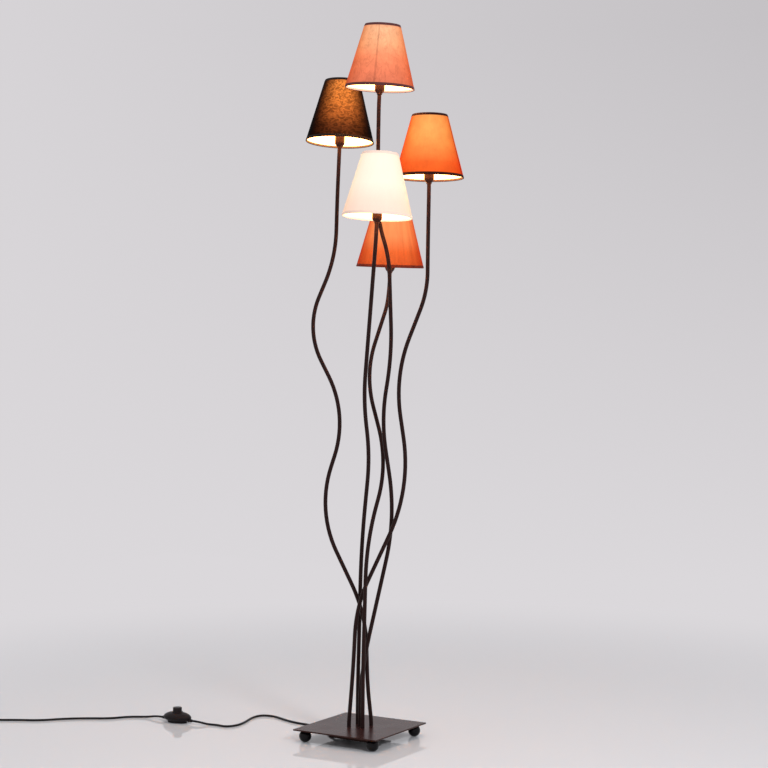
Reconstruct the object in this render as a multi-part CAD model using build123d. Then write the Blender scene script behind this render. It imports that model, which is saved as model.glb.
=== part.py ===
"""Five-stem "tree" floor lamp: sinuous steel stems on a square plate, small empire shades.

Millimetres, +Z up, the plate's sides along X and Y.  The origin is on the floor under the
middle of the plate.  Each separate piece of the lamp is one STEP file in parts/.
"""
from build123d import *
from math import acos, cos, degrees, pi, radians, sin, sqrt, tan
import os

os.makedirs("parts", exist_ok=True)

# ---------------------------------------------------------------- driving dimensions
# Base
PLATE_SIDE = 216.0
PLATE_T = 3.0
FOOT_D = 27.5  # ball feet
FOOT_FLAT_D = 7.0  # flat turned on the ball at its top and bottom
FOOT_INSET = 19.5  # ball centre from the plate's edge
FOOT_STUD_D = 5.0  # studs welded under the plate, one for each ball
FOOT_STUD_LEN = 10.0
STEM_PITCH = 36.0  # side of the square of stems round the middle stem

# Stems
STEM_D = 9.0
STEM_FIT = 0.1  # clearance round a stem in a hole
STEM_TAIL = 8.6  # length of stem below the plate, threaded for its nut
STEM_RISE = 12.0  # straight above the plate before the first bend
STEM_TOP = 1450.0  # end of the tallest stem; every bend's height follows it
NUT_ACROSS = 14.0
NUT_T = 5.0
WASHER_D = 17.0
WASHER_T = 1.0

# Wiring cover under the plate
COVER_SIDE = 100.0
COVER_DEPTH = 19.0
COVER_WALL = 1.5
PILLAR_D = 8.0
PILLAR_X = 36.0  # two pillars on the X axis carry the cover
COVER_SCREW_D = 3.4
COVER_SCREW_LEN = 11.0  # thread above the cover's underside
COVER_HEAD_D = 7.0
COVER_HEAD_T = 2.2
SCREW_FIT = 0.15
BLOCK_SIZE = (34.0, 15.0, 12.0)  # terminal block
BLOCK_CLEAR = 10.5  # from the nearest stem's axis to the block
BLOCK_POLES = 3
BLOCK_HOLE_D = 3.6
GLAND_D = 12.0
GLAND_COLLAR_D = 16.0
GLAND_COLLAR_T = 2.5
GLAND_NOSE = 9.0
GLAND_Y = 16.0
GLAND_DROP = 11.0  # gland axis below the plate's underside

# Lamp heads, along each head's own axis, from the shade's bottom rim
CUP_D = 23.0
CUP_WALL = 0.8
CUP_NECK_D = 12.0
CUP_NECK_LEN = 2.5
CUP_TAPER = 6.5
CUP_DROP = 13.0  # neck's end below the rim
CUP_TOP = 20.0
CUP_FLOOR_T = 1.6
STEM_SHORT = 4.0  # stem's end below the rim
HOLDER_D = 20.4
HOLDER_FLANGE_D = 29.2
HOLDER_FLANGE_T = 2.0
HOLDER_SKIRT_D = 27.2
HOLDER_TOP = 42.0
HOLDER_BORE_D = 14.5
HOLDER_BORE_LEN = 21.0
CARRIER_Z = 24.0  # ring of the shade carrier
CARRIER_D = 35.0
CARRIER_T = 1.5
CARRIER_FIT = 0.4
SPOKE_D = 2.2
SPOKE_FOOT_Z = 4.0
SPOKES = 3
COLLAR_D = 34.0  # screwed ring that clamps the carrier
COLLAR_T = 6.0
COLLAR_FIT = 0.3

# Bulb, E14 candle
CAP_D = 13.9
CAP_LEN = 21.5
BULB_D = 35.0
BULB_LEN = 98.0
BULB_SHOULDER = 30.0  # cap to the widest place
CAP_TIP = (2.5, 3.0)  # the cap narrows by this much over this height at its contact
BULB_GAP = 0.3  # under the cap, in the holder

# Shades
SHADE_BOTTOM_D = 156.0
SHADE_TOP_D = 80.0
SHADE_H = 142.0
SHADE_WALL = 0.8
HEM_WALL = 2.4  # hem rolled inwards over the wire ring
HEM_H = 5.0
HEM_FIT = 0.2  # spoke's end to the hem

# Foot switch
SWITCH_LEN = 74.0
SWITCH_W = 46.0
SWITCH_BASE_LEN = 52.0
SWITCH_SPLIT = 11.5  # height of the joint between the shells
SWITCH_H = 25.0
SWITCH_WALL = 2.2
SWITCH_STEP = 4.0  # height of the foot's upright edge, and of the flare's shoulder inwards
SWITCH_AT = (-461.0, -72.0)
BUTTON_D = 21.0
BUTTON_TOP = 35.0
BUTTON_EDGE = 1.2  # chamfer
BUTTON_TRAVEL = 3.0
BUTTON_FIT = 0.3
BUTTON_FLANGE = 1.4  # wider than the button, all round
BUTTON_FLANGE_T = 1.6
GUIDE_LEN = 6.0
GUIDE_WALL = 2.0
SPRING_D = 9.0
SPRING_WIRE = 0.8
SPRING_SHUT = 4.9  # spring's length with the button pressed
SWITCH_FLOOR = 3.2
CONTACT_SIZE = (26.0, 15.0)
SPOUT_D = 7.2
SPOUT_LEN = 6.0
SPOUT_ROOT = 12.0  # of the spout within the shell's rim
SPOUT_Z = 7.5

# Cord
CORD_D = 5.0
CORD_LIFT = 0.1  # of the cord above the floor
COIL_R = 33.0  # outermost half turn
COIL_GAP = 0.5  # between neighbouring turns
COIL_HALF_TURNS = 4  # on each layer, with one more that climbs between them

# Plug, flat two-pin
PLUG_LEN = 40.0
PLUG_W = 35.3
PLUG_WAIST_W = 26.0
PLUG_TAIL_W = 12.0
PLUG_TAPER = 10.0  # tail to waist
PLUG_FLARE = 8.0  # waist to the full width
PIN_D = 4.0
PIN_LEN = 19.0
PIN_PITCH = 18.6
RELIEF_LEN = 20.0
RELIEF_D = 9.0
RELIEF_LIP = 0.2  # of the relief over the cord at its thin end

# Numbers of flat sides that stand for a circle
LATHE_SIDES = 12
STEM_SIDES = 12
SHADE_SIDES = 30
BALL_SIDES = 14
BALL_BANDS = 8
SWITCH_SIDES = 20
CORD_SIDES = 6

# ---------------------------------------------------------------- derived places
FOOT_R = FOOT_D / 2
FOOT_HALF = sqrt(FOOT_R**2 - (FOOT_FLAT_D / 2) ** 2)
PLATE_Z = 2 * FOOT_HALF  # underside of the plate
PLATE_TOP = PLATE_Z + PLATE_T
FOOT_XY = PLATE_SIDE / 2 - FOOT_INSET
STEM_XY = STEM_PITCH / 2
STEM_START = PLATE_Z - STEM_TAIL
STEM_BEND = PLATE_TOP + STEM_RISE
COVER_Z = PLATE_Z - COVER_DEPTH
CORD_Z = CORD_D / 2 + CORD_LIFT
LAYER = CORD_D + COIL_GAP
BUTTON_STOP = SWITCH_H - GUIDE_LEN - BUTTON_FIT  # top of the button's flange
BUTTON_BOTTOM = BUTTON_STOP - BUTTON_FLANGE_T
CONTACT_TOP = BUTTON_BOTTOM - BUTTON_TRAVEL - SPRING_SHUT

# Bend points of each stem from its foot to the lamp head; arcs join the straight runs
BENDS = {
    "left": [
        (STEM_XY, STEM_XY, STEM_START),
        (STEM_XY, STEM_XY, STEM_BEND),
        (9, 17, 120),
        (5, 16, 280),
        (-96, -29, 511),
        (-46, 21, 726),
        (-137, -14, 919),
        (-89, 37, 1082),
        (-92, 49, 1220),
        (-92, 59, 1341),
    ],
    "front": [
        (-STEM_XY, STEM_XY, STEM_START),
        (-STEM_XY, STEM_XY, STEM_BEND),
        (-19, 21, 121),
        (-11, 23, 434),
        (21, 8, 635),
        (16, -11, 762),
        (66, -39, 1112),
        (67, -36, 1159),
    ],
    "back": [
        (STEM_XY, -STEM_XY, STEM_START),
        (STEM_XY, -STEM_XY, STEM_BEND),
        (19, -18, 149),
        (24, -11, 445),
        (32, 67, 617),
        (-33, 73, 817),
        (-13, 138, 975),
        (-14, 149, 1020),
        (-12, 148, 1058),
    ],
    "top": [
        (0, 0, STEM_START),
        (0, 0, 112),
        (13, 4, 200),
        (63, 50, 497),
        (30, 42, 715),
        (45, 63, 863),
        (38, 62, 1080),
        (19, 47, 1161),
        (24, 38, 1319),
        (31, 30, 1415),
        (33, 30, 1450),
    ],
    "right": [
        (-STEM_XY, -STEM_XY, STEM_START),
        (-STEM_XY, -STEM_XY, STEM_BEND),
        (-10, -13, 160),
        (-2, -12, 302),
        (99, 56, 562),
        (65, 42, 815),
        (124, 86, 1003),
        (124, 88, 1102),
        (124, 92, 1210),
        (124, 93, 1252),
    ],
}


def stretched(points):
    """A stem's points with the heights above its first bend set by the tallest stem's end."""
    drawn = BENDS["top"][-1][2] - STEM_BEND
    share = (STEM_TOP - STEM_BEND) / drawn
    return points[:1] + [(x, y, STEM_BEND + (z - STEM_BEND) * share) for x, y, z in points[1:]]


STEMS = {place: stretched(points) for place, points in BENDS.items()}

# Free cord on the floor, chosen by eye: cover to switch, and switch to coil
SWITCH_END = SWITCH_LEN / 2 + SPOUT_LEN
CORD_A = [
    (-COVER_SIDE / 2 - GLAND_NOSE - GLAND_COLLAR_T, GLAND_Y, PLATE_Z - GLAND_DROP),
    (-80, GLAND_Y, PLATE_Z - GLAND_DROP),
    (-114, 28, CORD_Z),
    (-164, 54, CORD_Z),
    (-212, 56, CORD_Z),
    (-258, 72, CORD_Z),
    (-300, 92, CORD_Z),
    (-334, 84, CORD_Z),
    (-333, 44, CORD_Z),
    (-319, 4, CORD_Z),
    (-312, -38, CORD_Z),
    (-328, -64, CORD_Z),
    (-354, -58, CORD_Z),
    (-378, -64, CORD_Z),
    (-400, SWITCH_AT[1], SPOUT_Z),
    (SWITCH_AT[0] + SWITCH_END, SWITCH_AT[1], SPOUT_Z),
]
CORD_B = [
    (SWITCH_AT[0] - SWITCH_END, SWITCH_AT[1], SPOUT_Z),
    (-522, SWITCH_AT[1], SPOUT_Z),
    (-553, -74, CORD_Z),
    (-588, -92, CORD_Z),
    (-616, -134, CORD_Z),
    (-660, -158, CORD_Z),
    (-703, -190, CORD_Z),
    (-740, -236, CORD_Z),
    (-790, -260, CORD_Z),
    (-834, -288, CORD_Z),
    (-862, -276, CORD_Z),
    (-874, -248, CORD_Z),
]


def turned(profile, sides, squash=1.0):
    """Solid turned about Z from a closed (radius, height) outline, with flat sides.

    A squash under 1 narrows it along Y.
    """

    def ring(radius, z):
        turn = 2 * pi / sides
        return [
            Vector(radius * cos(k * turn), squash * radius * sin(k * turn), z)
            for k in range(sides)
        ]

    faces = []
    for (r0, z0), (r1, z1) in zip(profile, profile[1:] + profile[:1]):
        if r0 == 0 and r1 == 0:
            continue
        if z0 == z1 and min(r0, r1) == 0:
            faces.append(Face(Wire.make_polygon(ring(max(r0, r1), z0))))
            continue
        low, high = ring(r0, z0), ring(r1, z1)
        for k in range(sides):
            n = (k + 1) % sides
            corners = [low[k], low[n], high[n], high[k]]
            if r0 == 0:
                corners = [low[k], high[n], high[k]]
            if r1 == 0:
                corners = [low[k], low[n], high[k]]
            faces.append(Face(Wire.make_polygon(corners)))
    return Solid(Shell(faces))


def round_hole(radius, sides=LATHE_SIDES):
    """Corner radius of a many-sided hole that clears a shaft of this radius."""
    return radius / cos(pi / sides)


def prism(radius, sides, start, end):
    """Straight many-sided bar between two points."""
    run = Vector(end) - Vector(start)
    return extrude(Plane(start, z_dir=run) * RegularPolygon(radius, sides), amount=run.length)


def bend_radii(points):
    """Largest even bend at each corner: 0.45 of the shorter run beside it."""
    radii = []
    for a, b, c in zip(points, points[1:], points[2:]):
        before, after = Vector(b) - Vector(a), Vector(c) - Vector(b)
        turn = radians(before.get_angle(after))
        radii.append(0.45 * min(before.length, after.length) / tan(turn / 2))
    return radii


def bent_path(points):
    return FilletPolyline(*points, radius=bend_radii(points))


def bar_along(path, diameter, sides):
    """Many-sided bar swept along a path of straight runs and arcs."""
    return sweep(Plane(path @ 0, z_dir=path % 0) * RegularPolygon(diameter / 2, sides), path=path)


def save(shape, name):
    shape.label = name
    export_step(shape, f"parts/{name}.step")


# ---------------------------------------------------------------- base
def stem_feet():
    return [points[0] for points in STEMS.values()]


def base_plate():
    plate = Pos(0, 0, PLATE_Z + PLATE_T / 2) * Box(PLATE_SIDE, PLATE_SIDE, PLATE_T)
    for x, y, _ in stem_feet():
        hole = RegularPolygon(round_hole(STEM_D / 2 + STEM_FIT), LATHE_SIDES)
        plate -= Pos(x, y, PLATE_Z) * extrude(hole, amount=PLATE_T)
    for spot in GridLocations(2 * FOOT_XY, 2 * FOOT_XY, 2, 2):
        stud = extrude(RegularPolygon(FOOT_STUD_D / 2, LATHE_SIDES), amount=-FOOT_STUD_LEN)
        plate += Pos(0, 0, PLATE_Z) * spot * stud
    pillar_len = COVER_DEPTH - COVER_WALL
    section = RegularPolygon(PILLAR_D / 2, LATHE_SIDES)
    bore = RegularPolygon(round_hole(COVER_SCREW_D / 2 + SCREW_FIT), LATHE_SIDES)
    pillar = extrude(section, amount=-pillar_len)
    pillar -= Pos(0, 0, -pillar_len) * extrude(bore, amount=COVER_SCREW_LEN)
    for x in (-PILLAR_X, PILLAR_X):
        plate += Pos(x, 0, PLATE_Z) * pillar
    return plate


def ball_foot():
    """Turned ball with a blind bore for its stud; it stands on a small flat."""
    edge = degrees(acos(FOOT_FLAT_D / FOOT_D))
    steps = [radians(-edge + 2 * edge * k / BALL_BANDS) for k in range(BALL_BANDS + 1)]
    outline = [(FOOT_R * cos(a), FOOT_HALF + FOOT_R * sin(a)) for a in steps]
    outline[0] = (FOOT_FLAT_D / 2, 0)
    outline[-1] = (FOOT_FLAT_D / 2, PLATE_Z)
    bore = round_hole(FOOT_STUD_D / 2 + STEM_FIT, BALL_SIDES)
    floor = PLATE_Z - FOOT_STUD_LEN - 1
    return turned([(0, 0)] + outline + [(bore, PLATE_Z), (bore, floor), (0, floor)], BALL_SIDES)


def ring_of(outer, sides, thickness):
    bore = RegularPolygon(round_hole(STEM_D / 2 + STEM_FIT), LATHE_SIDES)
    return extrude(RegularPolygon(outer, sides) - bore, amount=thickness)


def stem_washers():
    washer = ring_of(WASHER_D / 2, LATHE_SIDES, WASHER_T)
    return Compound([Pos(x, y, PLATE_Z - WASHER_T) * washer for x, y, _ in stem_feet()])


def stem_nuts():
    nut = ring_of(NUT_ACROSS / 2 / cos(pi / 6), 6, NUT_T)
    return Compound([Pos(x, y, PLATE_Z - WASHER_T - NUT_T) * nut for x, y, _ in stem_feet()])


def wiring_cover():
    """Folded tray under the plate, with the gland's hole in its side."""
    tray = Pos(0, 0, COVER_Z + COVER_DEPTH / 2) * Box(COVER_SIDE, COVER_SIDE, COVER_DEPTH)
    room = COVER_SIDE - 2 * COVER_WALL
    tray -= Pos(0, 0, COVER_Z + COVER_WALL + COVER_DEPTH / 2) * Box(room, room, COVER_DEPTH)
    hole = RegularPolygon(round_hole(COVER_SCREW_D / 2 + SCREW_FIT), LATHE_SIDES)
    for x in (-PILLAR_X, PILLAR_X):
        tray -= Pos(x, 0, COVER_Z) * extrude(hole, amount=COVER_WALL)
    side = Plane((-COVER_SIDE / 2, GLAND_Y, PLATE_Z - GLAND_DROP), z_dir=(1, 0, 0))
    slot = side * RegularPolygon(round_hole(GLAND_D / 2 + SCREW_FIT), LATHE_SIDES)
    return tray - extrude(slot, amount=COVER_WALL)


def cover_screws():
    head = extrude(RegularPolygon(COVER_HEAD_D / 2, LATHE_SIDES), amount=-COVER_HEAD_T)
    shank = extrude(RegularPolygon(COVER_SCREW_D / 2, LATHE_SIDES), amount=COVER_SCREW_LEN)
    screw = head + shank
    return Compound([Pos(x, 0, COVER_Z) * screw for x in (-PILLAR_X, PILLAR_X)])


def terminal_block():
    """Three-pole block on the plate's underside, with its wire ways through it."""
    length, width, height = BLOCK_SIZE
    block = Box(length, width, height)
    for k in range(BLOCK_POLES):
        x = (k - (BLOCK_POLES - 1) / 2) * length / BLOCK_POLES
        way = Plane((x, -width / 2, 0), z_dir=(0, 1, 0)) * RegularPolygon(BLOCK_HOLE_D / 2, 8)
        block -= extrude(way, amount=width)
    back = -STEM_XY - BLOCK_CLEAR - width / 2
    return Pos(0, back, PLATE_Z - height / 2) * block


def cord_gland():
    """Cord grip through the cover's side: collar, body and tapered nose."""
    body = turned(
        [
            (0, -COVER_WALL - 2),
            (GLAND_D / 2, -COVER_WALL - 2),
            (GLAND_D / 2, 0),
            (GLAND_COLLAR_D / 2, 0),
            (GLAND_COLLAR_D / 2, GLAND_COLLAR_T),
            (GLAND_D / 2 - 1, GLAND_COLLAR_T),
            (CORD_D / 2 + 1, GLAND_COLLAR_T + GLAND_NOSE),
            (0, GLAND_COLLAR_T + GLAND_NOSE),
        ],
        LATHE_SIDES,
    )
    seat = Plane((-COVER_SIDE / 2, GLAND_Y, PLATE_Z - GLAND_DROP), z_dir=(-1, 0, 0))
    return seat.location * body


# ---------------------------------------------------------------- lamp heads
def head_plane(points):
    """Frame of a lamp head: the middle of the shade's bottom rim, Z along the head's axis."""
    end, before = Vector(points[-1]), Vector(points[-2])
    axis = (end - before).normalized()
    return Plane(end + axis * STEM_SHORT, x_dir=(1, 0, 0), z_dir=axis)


def cup():
    floor = -STEM_SHORT + CUP_FLOOR_T
    bore = round_hole(STEM_D / 2 + STEM_FIT)
    shoulder = -CUP_DROP + CUP_NECK_LEN + CUP_TAPER
    return turned(
        [
            (bore, -CUP_DROP),
            (CUP_NECK_D / 2, -CUP_DROP),
            (CUP_NECK_D / 2, -CUP_DROP + CUP_NECK_LEN),
            (CUP_D / 2, shoulder),
            (CUP_D / 2, CUP_TOP),
            (CUP_D / 2 - CUP_WALL, CUP_TOP),
            (CUP_D / 2 - CUP_WALL, floor),
            (bore, floor),
        ],
        LATHE_SIDES,
    )


def lampholder():
    """E14 holder: barrel in the cup, flange, threaded skirt and socket."""
    base = -STEM_SHORT + CUP_FLOOR_T
    floor = HOLDER_TOP - HOLDER_BORE_LEN
    return turned(
        [
            (0, base),
            (HOLDER_D / 2, base),
            (HOLDER_D / 2, CARRIER_Z - HOLDER_FLANGE_T),
            (HOLDER_FLANGE_D / 2, CARRIER_Z - HOLDER_FLANGE_T),
            (HOLDER_FLANGE_D / 2, CARRIER_Z),
            (HOLDER_SKIRT_D / 2, CARRIER_Z),
            (HOLDER_SKIRT_D / 2, HOLDER_TOP),
            (HOLDER_BORE_D / 2, HOLDER_TOP),
            (HOLDER_BORE_D / 2, floor),
            (0, floor),
        ],
        LATHE_SIDES,
    )


def shade_radius(z):
    """Outer radius of the shade at this height above its bottom rim."""
    return (SHADE_BOTTOM_D + (SHADE_TOP_D - SHADE_BOTTOM_D) * z / SHADE_H) / 2


def shade():
    """Laminated cone, its edges rolled inwards over the wire rings."""

    def inner(z, wall):
        return (shade_radius(z) - wall, z)

    return turned(
        [
            (SHADE_BOTTOM_D / 2, 0),
            (SHADE_TOP_D / 2, SHADE_H),
            inner(SHADE_H, HEM_WALL),
            inner(SHADE_H - HEM_H, HEM_WALL),
            inner(SHADE_H - HEM_H, SHADE_WALL),
            inner(HEM_H, SHADE_WALL),
            inner(HEM_H, HEM_WALL),
            inner(0, HEM_WALL),
        ],
        SHADE_SIDES,
    )


def carrier():
    """Ring on the holder's flange with three wire spokes down to the bottom hem."""
    bore = HOLDER_SKIRT_D / 2 + CARRIER_FIT
    bottom, top = CARRIER_Z, CARRIER_Z + CARRIER_T
    ring = [(bore, bottom), (CARRIER_D / 2, bottom), (CARRIER_D / 2, top), (bore, top)]
    frame = turned(ring, LATHE_SIDES)
    root = (CARRIER_D / 2 - 0.6, 0, top - SPOKE_D / 2)
    reach = shade_radius(SPOKE_FOOT_Z) - HEM_WALL - HEM_FIT - SPOKE_D / 4
    for k in range(SPOKES):
        spoke = prism(SPOKE_D / 2, 6, root, (reach, 0, SPOKE_FOOT_Z))
        frame += Rot(0, 0, 360 * k / SPOKES) * spoke
    return frame


def collar():
    bottom = CARRIER_Z + CARRIER_T
    bore = HOLDER_SKIRT_D / 2 + COLLAR_FIT
    return turned(
        [
            (bore, bottom),
            (COLLAR_D / 2, bottom),
            (COLLAR_D / 2, bottom + COLLAR_T / 3),
            (COLLAR_D / 2 - 1.5, bottom + COLLAR_T),
            (bore, bottom + COLLAR_T),
        ],
        LATHE_SIDES,
    )


def bulb():
    """Candle bulb: screw cap, shoulder and pointed glass."""
    base = HOLDER_TOP - HOLDER_BORE_LEN + BULB_GAP
    neck, wide = CAP_D / 2, BULB_D / 2
    cap_top = base + CAP_LEN
    narrow, tip = CAP_TIP
    outline = [(0, base), (neck - narrow, base), (neck, base + tip), (neck, cap_top)]
    for share in (0.3, 0.6, 1.0):
        swell = (1 - cos(pi * share)) / 2
        outline.append((neck + (wide - neck) * swell, cap_top + BULB_SHOULDER * share))
    rest = BULB_LEN - CAP_LEN - BULB_SHOULDER
    for k in (1, 2, 3):
        angle = radians(22 * k)
        outline.append((wide * cos(angle), cap_top + BULB_SHOULDER + rest * sin(angle)))
    outline.append((0, base + BULB_LEN))
    return turned(outline, LATHE_SIDES)


# ---------------------------------------------------------------- foot switch
def lens(height, rim, wall):
    """(radius, height) points of the switch's dome from its rim to its crown, less a wall."""
    steps = [radians(a) for a in (0, 28, 52, 72, 90)]
    half = SWITCH_LEN / 2 - wall
    return [(half * cos(a), rim + (height - wall - rim) * sin(a)) for a in steps]


def squash():
    return SWITCH_W / SWITCH_LEN


def placed(shape):
    return Pos(SWITCH_AT[0], SWITCH_AT[1], 0) * shape


def switch_base():
    """Lower shell: narrow foot, flared side and a spout for the cord at each end."""
    foot, half = SWITCH_BASE_LEN / 2, SWITCH_LEN / 2
    shell = turned(
        [
            (0, 0),
            (foot, 0),
            (foot, SWITCH_STEP),
            (half - SWITCH_STEP, SWITCH_SPLIT * 0.6),
            (half, SWITCH_SPLIT),
            (half - SWITCH_WALL, SWITCH_SPLIT),
            (half - SWITCH_STEP - SWITCH_WALL, SWITCH_SPLIT * 0.6),
            (foot - SWITCH_WALL, SWITCH_FLOOR),
            (0, SWITCH_FLOOR),
        ],
        SWITCH_SIDES,
        squash(),
    )
    for side in (-1, 1):
        inner = (side * (half - SPOUT_ROOT), 0, SPOUT_Z)
        shell += prism(SPOUT_D / 2, 8, inner, (side * SWITCH_END, 0, SPOUT_Z))
    return placed(shell)


def switch_dome():
    """Upper shell with the round guide that the button slides in."""
    outer = lens(SWITCH_H, SWITCH_SPLIT, 0)
    inner = lens(SWITCH_H, SWITCH_SPLIT, SWITCH_WALL)
    outer[-1] = (0, SWITCH_H)
    inner[-1] = (0, SWITCH_H - SWITCH_WALL)
    dome = turned(outer + inner[::-1], SWITCH_SIDES, squash())
    guide_r = round_hole(BUTTON_D / 2 + BUTTON_FIT, SWITCH_SIDES)
    bottom = SWITCH_H - GUIDE_LEN
    tube = turned(
        [
            (guide_r - 2, bottom),
            (guide_r + GUIDE_WALL, bottom),
            (guide_r + GUIDE_WALL, SWITCH_H - SWITCH_WALL / 2),
            (guide_r - 2, SWITCH_H - SWITCH_WALL / 2),
        ],
        SWITCH_SIDES,
    )
    way = extrude(RegularPolygon(guide_r, SWITCH_SIDES), amount=SWITCH_H)
    return placed(dome + tube - way)


def switch_button():
    """Round button held in by its flange under the guide."""
    radius = BUTTON_D / 2
    return placed(
        turned(
            [
                (0, BUTTON_BOTTOM),
                (radius + BUTTON_FLANGE, BUTTON_BOTTOM),
                (radius + BUTTON_FLANGE, BUTTON_STOP),
                (radius, BUTTON_STOP),
                (radius, BUTTON_TOP - BUTTON_EDGE),
                (radius - BUTTON_EDGE, BUTTON_TOP),
                (0, BUTTON_TOP),
            ],
            SWITCH_SIDES,
        )
    )


def switch_contacts():
    length, width = CONTACT_SIZE
    height = CONTACT_TOP - SWITCH_FLOOR
    return placed(Pos(0, 0, SWITCH_FLOOR + height / 2) * Box(length, width, height))


def switch_spring():
    """Return spring between the contact block and the button, as a sleeve."""
    outer, inner = SPRING_D / 2, SPRING_D / 2 - SPRING_WIRE
    low, high = CONTACT_TOP, BUTTON_BOTTOM
    return placed(turned([(inner, low), (outer, low), (outer, high), (inner, high)], 8))


# ---------------------------------------------------------------- cord and plug
def coil_path():
    """Centre line of the coil: in on the floor, up in one half turn, and out on top."""
    start, heading = Vector(CORD_B[-1]), Vector(CORD_B[-1]) - Vector(CORD_B[-2])
    frame = Plane(start, x_dir=heading.rotate(Axis.Z, -90), z_dir=(0, 0, 1))
    step = (CORD_D + COIL_GAP) / 2
    lower = [COIL_R - step * k for k in range(COIL_HALF_TURNS)]
    climb = COIL_R - step * COIL_HALF_TURNS
    x, y, z, way = 0.0, CORD_D, 0.0, 1
    edges = [Line((0, 0, 0), (x, y, z))]

    def arc(begin, end, heading):
        return TangentArc(begin, end, tangent=heading)

    for radius in lower + [climb] + lower[::-1]:
        begin, heading = (x, y, z), (0, way, 0)
        far = x - way * 2 * radius
        if radius == climb:
            reach = sqrt(radius**2 + (LAYER / 2) ** 2)
            middle = (x - way * radius, y + way * reach, LAYER / 2)
            edges.append(arc(begin, middle, heading))
            edges.append(arc(middle, (far, y, LAYER), edges[-1] % 1))
            z = LAYER
        else:
            edges.append(arc(begin, (far, y, z), heading))
        x, way = far, -way
    edges.append(Line((x, y, z), (x, y - CORD_D, z)))
    return frame.location * Wire(edges)


def least_gap(path, diameter):
    """Least clear distance between turns of a wound tube, measured on points."""
    count = 240
    points = [path @ (k / count) for k in range(count + 1)]
    spacing = path.length / count
    apart = int(3 * diameter / spacing)
    pairs = ((a, b) for a in range(count + 1) for b in range(a + apart, count + 1))
    return min((points[a] - points[b]).length for a, b in pairs) - diameter


def plug_frame(path):
    """Where the plug's strain relief meets the coil's end, X along the plug."""
    heading = path % 1
    return Plane(path @ 1, x_dir=heading, z_dir=(0, 0, 1))


def plug_body():
    """Flat body, waisted for the fingers, with a tapered strain relief."""
    height = 2 * (CORD_Z + LAYER)
    rear, waist, front = RELIEF_LEN, RELIEF_LEN + PLUG_LEN * 0.45, RELIEF_LEN + PLUG_LEN
    half = [(rear, PLUG_TAIL_W), (rear + PLUG_TAPER, PLUG_WAIST_W), (waist, PLUG_WAIST_W)]
    half += [(waist + PLUG_FLARE, PLUG_W), (front, PLUG_W)]
    outline = [(x, w / 2) for x, w in half] + [(x, -w / 2) for x, w in reversed(half)]
    face = make_face(Polyline(*outline, close=True))
    body = Pos(0, 0, -height / 2) * extrude(face, amount=height)
    nose = turned(
        [(0, 0), (CORD_D / 2 + RELIEF_LIP, 0), (RELIEF_D / 2, rear + 1), (0, rear + 1)], LATHE_SIDES
    )
    return body + Plane((0, 0, 0), z_dir=(1, 0, 0)).location * nose


def plug_pins():
    front = RELIEF_LEN + PLUG_LEN
    pin = Plane((front, 0, 0), z_dir=(1, 0, 0)) * Circle(PIN_D / 2)
    return Compound([Pos(0, y, 0) * extrude(pin, amount=PIN_LEN) for y in (-PIN_PITCH / 2, PIN_PITCH / 2)])


def cord(points, name):
    path = bent_path(points)
    tube = bar_along(path, CORD_D, CORD_SIDES)
    section = RegularPolygon(CORD_D / 2, CORD_SIDES).area
    print(f"{name}: {path.length:.0f} mm, volume ratio {tube.volume / section / path.length:.4f}")
    print("  radii", [round(r) for r in bend_radii(points)])
    save(tube, name)
    return path.length


# ---------------------------------------------------------------- write the sub-parts
save(base_plate(), "base_plate")
for number, spot in enumerate(GridLocations(2 * FOOT_XY, 2 * FOOT_XY, 2, 2), 1):
    save(spot * ball_foot(), f"ball_foot_{number}")
save(stem_washers(), "stem_washers")
save(stem_nuts(), "stem_nuts")
save(wiring_cover(), "wiring_cover")
save(cover_screws(), "cover_screws")
save(terminal_block(), "terminal_block")
save(cord_gland(), "cord_gland")

HEAD_PARTS = {
    "cup": cup(),
    "lampholder": lampholder(),
    "carrier": carrier(),
    "collar": collar(),
    "bulb": bulb(),
    "shade": shade(),
}
for place, points in STEMS.items():
    stem_path = bent_path(points)
    print(f"stem_{place}: {stem_path.length:.0f} mm, radii", [round(r) for r in bend_radii(points)])
    save(bar_along(stem_path, STEM_D, STEM_SIDES), f"stem_{place}")
    where = head_plane(points).location
    for name, piece in HEAD_PARTS.items():
        save(where * piece, f"{name}_{place}")

save(switch_base(), "switch_base")
save(switch_dome(), "switch_dome")
save(switch_button(), "switch_button")
save(switch_contacts(), "switch_contacts")
save(switch_spring(), "switch_spring")

cord_length = cord(CORD_A, "cord_lamp_to_switch") + cord(CORD_B, "cord_switch_to_coil")
coil = coil_path()
cord_length += coil.length
print(f"coil: {coil.length:.0f} mm, least gap {least_gap(coil, CORD_D):.2f} mm")
print(f"cord in all: {cord_length:.0f} mm")
save(bar_along(coil, CORD_D, CORD_SIDES), "cord_coil")
plug_place = plug_frame(coil).location
save(plug_place * plug_body(), "plug_body")
save(plug_place * plug_pins(), "plug_pins")
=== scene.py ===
"""Tree floor lamp, lit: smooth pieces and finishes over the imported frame, camera and studio.

Outlines and sections are in millimetres, and places in the studio in metres.
"""

from math import acos, cos, degrees, pi, radians, sin, sqrt, tan

import bmesh
import bpy
from mathutils import Matrix, Vector, noise


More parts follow.
